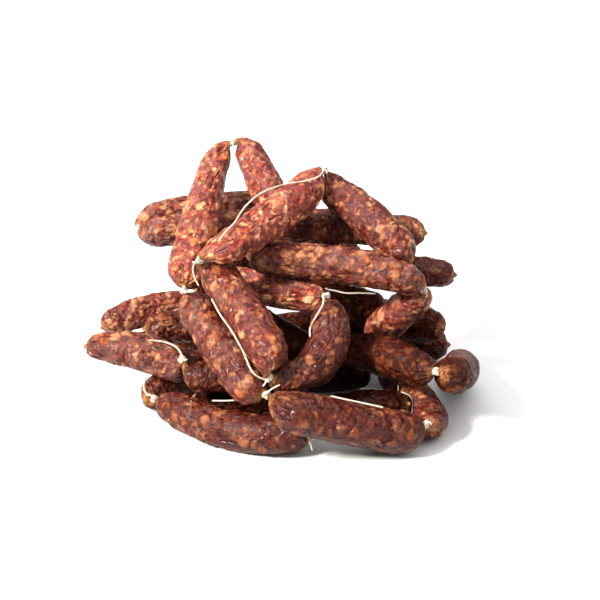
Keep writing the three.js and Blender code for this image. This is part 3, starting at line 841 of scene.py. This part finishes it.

# %% [markdown]
# ## Dressing the links
# Two tables set what the formula can't know: which links carry more pale bloom than usual, and
# how light or dark each one is. That tone is partly the link's own and partly painted light and
# shade. The links of the crown, in full light, are among the lightest. Those low down and on the
# right are painted darker as shade, and those deep inside the heap are painted nearly black as
# shade.

# %% Dress every link
BLOOM = {"link_left_shoulder": 0.75, "link_left_shoulder_thin": 0.6, "link_left_steep": 0.6,
         "link_middle_long": 0.6, "link_left_arm_front": 0.5}
# Each tone is partly the link's own and partly painted light and shade; the lowest values paint
# the shade deep inside the heap.
TONE_AND_SHADE = {
    "link_crown_left": 1.38, "link_crown_front": 1.5, "link_crown_rear": 1.26,
    "link_crown_right": 0.7, "link_middle_steep": 0.78, "link_left_steep": 0.6,
    "link_middle_long": 0.68, "link_left_arm_front": 0.76, "link_left_arm_rear": 1.0,
    "link_left_shoulder": 0.9, "link_left_shoulder_thin": 0.9, "link_front_bowed": 0.42,
    "link_right_front_middle": 0.2, "link_right_end_on": 0.22, "link_front_floor": 0.44,
    "link_front_right_upper": 0.42, "link_front_slanting": 0.36, "link_right_floor": 0.64,
    "link_right_drooping": 0.95, "link_right_shelf": 0.55, "link_right_shoulder": 0.8,
    "link_middle_inner": 1.35, "link_right_rear_middle": 0.32, "link_right_rear_floor": 0.25,
    "link_left_floor": 0.42, "link_left_inner_low": 0.5, "link_inner_right": 0.26,
    "link_floor_left_inner": 0.1, "link_floor_right_inner": 0.06, "link_floor_middle": 0.06,
    "link_left_inner": 0.12, "link_back_right_floor": 0.3,
}
USUAL_BLOOM, USUAL_TONE = 0.2, 0.6
# Tone limits below which links get the thinner coats of painted shade.
INNER_SHADE_BELOW, SHADED_BELOW = 0.15, 0.35

tubes = {}
triangles = 0
for number, name in enumerate(link_names):
    tube = bare_tube(spines[name])
    tubes[name] = tube
    height, values = relief(tube, number + 1)
    values["bloom"] = np.full((1, 1), BLOOM.get(name, USUAL_BLOOM))
    # The link's tone carries painted light and shade as well as its own colour.
    tone = TONE_AND_SHADE.get(name, USUAL_TONE)
    values["tone_and_shade"] = np.full((1, 1), tone)
    points = tube["points"] + outward_normals(tube["points"]) * height[..., None]
    points[..., 2] = np.maximum(points[..., 2], 0)
    ends = tube["middles"][[0, -1]] + tube["ways"][[0, -1]] * [[-0.35], [0.35]]
    # A tone made low by painted shade picks a thinner coat, as painted shade in the gloss.
    finish = shaded_red if tone < SHADED_BELOW else deep_red
    finish = inner_shade_red if tone < INNER_SHADE_BELOW else finish
    piece = closed_mesh(name + "_skin", points, ends, values, finish)
    stands_for(piece, name)
    triangles += 2 * points.shape[0] * points.shape[1]
print(len(link_names), "skins with", triangles, "triangles")

# %% [markdown]
# ## Twine
# A strand is a section carried along a path. The section isn't round: three plies make three low
# lobes, which turn round the strand as the section moves on. Long runs first follow the places
# where the string is seen to pass, then each point that would lie inside a link is pushed out on
# to its skin.

# %% A strand of laid twine
TWINE = 0.56
LAY = 3.4
PLIES = 3
PLY_CREST, GROOVE_DEPTH = 1.1, 0.34
STRAND_SIDES = 12
STEP = 0.55


def evenly(points):
    """A smooth path through the points, then cut in even steps."""
    lengths = np.linalg.norm(np.diff(points, axis=0), axis=1)
    knots = np.concatenate([[0], np.cumsum(lengths)])
    fine = smooth_through(knots, points, np.linspace(0, knots[-1], 40 * len(points)))
    knots = np.concatenate([[0], np.cumsum(np.linalg.norm(np.diff(fine, axis=0), axis=1))])
    at = np.linspace(0, knots[-1], max(4, int(knots[-1] / STEP)))
    return np.stack([np.interp(at, knots, fine[:, k]) for k in range(3)], axis=1)


def strand(path, radius):
    """Rows of points round the path: the radius has a lobe for each ply, and the lobes turn once
    in each lay length. Both ends are drawn in a little, as a cut string's are."""
    ways = unit(np.gradient(path, axis=0))
    helper = np.eye(3)[np.abs(ways[0]).argmin()]
    across, upright = carried_frames(ways, helper)
    steps = np.linalg.norm(np.diff(path, axis=0), axis=1)
    at = np.concatenate([[0], np.cumsum(steps)])
    angles = np.linspace(0, 2 * np.pi, STRAND_SIDES, endpoint=False)
    phase = PLIES * (angles[None] - 2 * np.pi * at[:, None] / LAY)
    groove = 0.5 - 0.5 * np.cos(phase)
    near_end = np.minimum(at, at[-1] - at)[:, None]
    size = radius * (PLY_CREST - GROOVE_DEPTH * groove)
    size = size * (0.6 + 0.4 * smooth_step(near_end, 0, 0.7))
    spokes = np.cos(angles)[None, :, None] * across[:, None]
    spokes = spokes + np.sin(angles)[None, :, None] * upright[:, None]
    return path[:, None] + size[..., None] * spokes, groove


def joined(name, strands, material, radius=TWINE):
    """Several closed strands as one piece."""
    parts = []
    for number, path in enumerate(strands):
        points, groove = strand(path, radius)
        ends = path[[0, -1]] + unit(path[[0, -1]] - path[[1, -2]]) * 0.2
        parts.append(closed_mesh(f"{name}_{number}", points, ends, {"groove": groove}, material))
    with bpy.context.temp_override(active_object=parts[0], selected_editable_objects=parts):
        bpy.ops.object.join()
    parts[0].name = name
    parts[0].data.name = name
    return parts[0]


print("a strand is", 2 * TWINE, "mm thick and turns once in", LAY, "mm")

# %% Laying a strand over the links
CLEARANCE = SWELL + TWINE + 0.35
ROUNDS = 5


def laid_over_links(path):
    """Pushes each point out of every link that it would lie in, straight away from the middle
    line, then evens the path a little. A few rounds are enough."""
    for _ in range(ROUNDS):
        for tube in tubes.values():
            gaps = np.linalg.norm(path[:, None] - tube["middles"][None], axis=-1) - tube["radii"]
            nearest = gaps.argmin(axis=1)
            away = path - tube["middles"][nearest]
            reach = np.linalg.norm(away, axis=1, keepdims=True)
            clear = tube["radii"][nearest][:, None] + CLEARANCE
            path = np.where(reach < clear, tube["middles"][nearest] + away / reach * clear, path)
        path[1:-1] = (path[:-2] + 2 * path[1:-1] + path[2:]) / 4
    return path


print("a run's middle keeps", round(CLEARANCE, 2), "mm off a link's bare tube")

# %% [markdown]
# ## Ties
# A butcher winds the twine three or four times round the gathered casing and pulls a knot on it.
# The windings are a screw line round the neck, and the knot is a small overhand knot, whose
# textbook curve crosses itself three times in one closed pass.
#
# Some knots have a longer tail, whose reach from the knot is given. Others run on as string, by
# the places given here, which are measured from the middle of the heap's first layout. The shift
# brings them to the middle of the frame.

# %% Windings, knot and tails
NECK = 1.55
FEWEST_TURNS = 3.2
KNOT_SIZE, KNOT_DEPTH = 0.42, 0.5
FRAME_SHIFT = np.array([-0.49, -17.82, 0.0])
TAILS = {
    "tie_front": (9, 1, 6),
    "tie_left_steep_top": (8, -4, 2),
    "tie_floor_front": (1, -3, -8),
}
TIE_RUNS = {
    "tie_crown_ridge": [[24, 27, 154], [16, 23, 153], [3, 17, 153], [-7, 11, 152], [-17, 1, 150],
                        [-25, -8, 145], [-31, -19, 139], [-38, -30, 135], [-41, -32, 131]],
    "tie_middle_left": [[-59, -23, 108], [-58, -26, 103], [-55, -29, 98]],
    "tie_middle_foot": [[-16, -88, 62], [-24, -77, 73], [-32, -61, 80], [-41, -47, 87],
                        [-46, -39, 93]],
    "tie_front_slanting": [[-67, -41, 50], [-68, -36, 51], [-73, -27, 52], [-80, -23, 53],
                           [-91, -22, 54]],
    "tie_floor_left": [[-89, -50, 27], [-91, -45, 24], [-94, -38, 25], [-94, -27, 28]],
    "tie_bowed_top": [[27, -44, 90], [23, -47, 84], [19, -49, 76], [19, -55, 73]],
}


def windings(place, turns):
    """A screw line round the tie's axis: as the angle grows, it moves on by one twine's width."""
    side = np.cross(place["axis"], place["outward"])
    angle = np.linspace(0, 2 * np.pi * turns, int(26 * turns))[:, None]
    along = (angle / (2 * np.pi) - turns / 2) * 2 * TWINE * 0.98
    round_neck = np.cos(angle) * place["outward"] + np.sin(angle) * side
    return place["middle"] + place["axis"] * along + round_neck * (NECK + TWINE)


def knot(place):
    """An overhand knot: (sin t + 2 sin 2t, cos t - 2 cos 2t, -sin 3t), scaled to a small bead."""
    t = np.linspace(0.3, 2 * np.pi + 0.1, 60)[:, None]
    side = np.cross(place["axis"], place["outward"])
    flat = (np.sin(t) + 2 * np.sin(2 * t)) * place["axis"] + (np.cos(t) - 2 * np.cos(2 * t)) * side
    return place["knot"] + KNOT_SIZE * flat - KNOT_DEPTH * np.sin(3 * t) * place["outward"]


def short_tail(place, reach):
    """From the knot outwards and over to the given reach, as a string that bends by its weight."""
    t = np.linspace(0, 1, 20)[:, None]
    reach = np.array(reach, float)
    return place["knot"] + reach * t + place["outward"] * 1.6 * np.sin(np.pi * t)


for number, (name, place) in enumerate(tie_places.items()):
    place["knot"] = place["middle"] + place["outward"] * (NECK + 2 * TWINE + 0.3)
    turns = FEWEST_TURNS + 0.5 * draw(np.array([number, 3, 5]), 9)
    side = np.cross(place["axis"], place["outward"])
    cut_end = 2.6 * place["outward"] + 2.2 * side + [0, 0, -1.2]
    strands = [windings(place, turns), knot(place), short_tail(place, cut_end)]
    if name in TAILS:
        strands.append(short_tail(place, TAILS[name]))
    if name in TIE_RUNS:
        route = np.vstack([place["knot"], np.array(TIE_RUNS[name], float) + FRAME_SHIFT])
        strands.append(laid_over_links(evenly(route)))
    finish = stained_twine if number % 3 == 1 else clean_twine
    stands_for(joined(name + "_twine", strands, finish), name)
print(len(tie_places), "ties wound")

# %% Runs of twine
RUNS = {
    "run_under_arm": [[-117, 1, 40], [-112, 9, 40], [-106, 14, 41], [-98, 17, 42]],
    "run_between_floor_and_steep": [[-46, -62, 29], [-39, -64, 30], [-31, -67, 32]],
    "run_under_long": [[29, -9, 86], [35, -8, 85], [43, -8, 83], [53, -8, 83], [64, -11, 84]],
    "run_on_front_right": [[32, -92, 49], [40, -92, 47], [52, -90, 43], [66, -89, 39]],
    "run_hanging_inside": [[79, -40, 29], [79, -50, 26], [80, -61, 23]],
    "run_on_inner_floor": [[52, -49, 26], [60, -47, 26], [67, -46, 26]],
}
FRAYED = {"run_hanging_inside", "run_on_inner_floor"}
FRAYED_TWINE = 0.3
for name, route in RUNS.items():
    path = laid_over_links(evenly(np.array(route, float) + FRAME_SHIFT))
    finish, radius = (stained_twine, FRAYED_TWINE) if name in FRAYED else (clean_twine, TWINE)
    stands_for(joined(name + "_twine", [path], finish, radius), name)
print(len(RUNS), "runs laid,", len(FRAYED), "of them frayed and thin")

# %% [markdown]
# ## The white sweep
# The heap lies on a bare white surface, which isn't part of the object. The surface is far larger
# than the picture, so that its edge shows only in views from low down.

# %% Floor
FLOOR_HALF = 4.0
SWEEP_COLOUR = (0.60, 0.602, 0.605, 1)

floor_mesh = bpy.data.meshes.new("floor")
floor_corners = [(-FLOOR_HALF, -FLOOR_HALF, 0), (FLOOR_HALF, -FLOOR_HALF, 0),
                 (FLOOR_HALF, FLOOR_HALF, 0), (-FLOOR_HALF, FLOOR_HALF, 0)]
floor_mesh.from_pydata(floor_corners, [], [(0, 1, 2, 3)])
floor = bpy.data.objects.new("floor", floor_mesh)
bpy.context.scene.collection.objects.link(floor)
floor_finish = bpy.data.materials.new("white_sweep")
floor_finish.use_nodes = True
floor_shader = floor_finish.node_tree.nodes["Principled BSDF"]
floor_shader.inputs["Base Color"].default_value = SWEEP_COLOUR
floor_shader.inputs["Roughness"].default_value = 0.9
floor_shader.inputs["Specular IOR Level"].default_value = 0.1
floor_mesh.materials.append(floor_finish)
floor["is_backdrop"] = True
print("a floor", 2 * FLOOR_HALF, "m wide")

# %% [markdown]
# ## Sizes
# The box round the dressed heap is set beside the box round the solids, and how far each corner
# moved is printed in mm.

# %% Sizes and finish
boxes = {"solids": [list(corner) for corner in frame_box],
         "dressed": [list(corner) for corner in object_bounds()]}
growth = [
    round((b - a) / MM, 2)
    for solid, dressed in zip(boxes["solids"], boxes["dressed"])
    for a, b in zip(solid, dressed)
]
print("box corners moved by", growth, "mm")
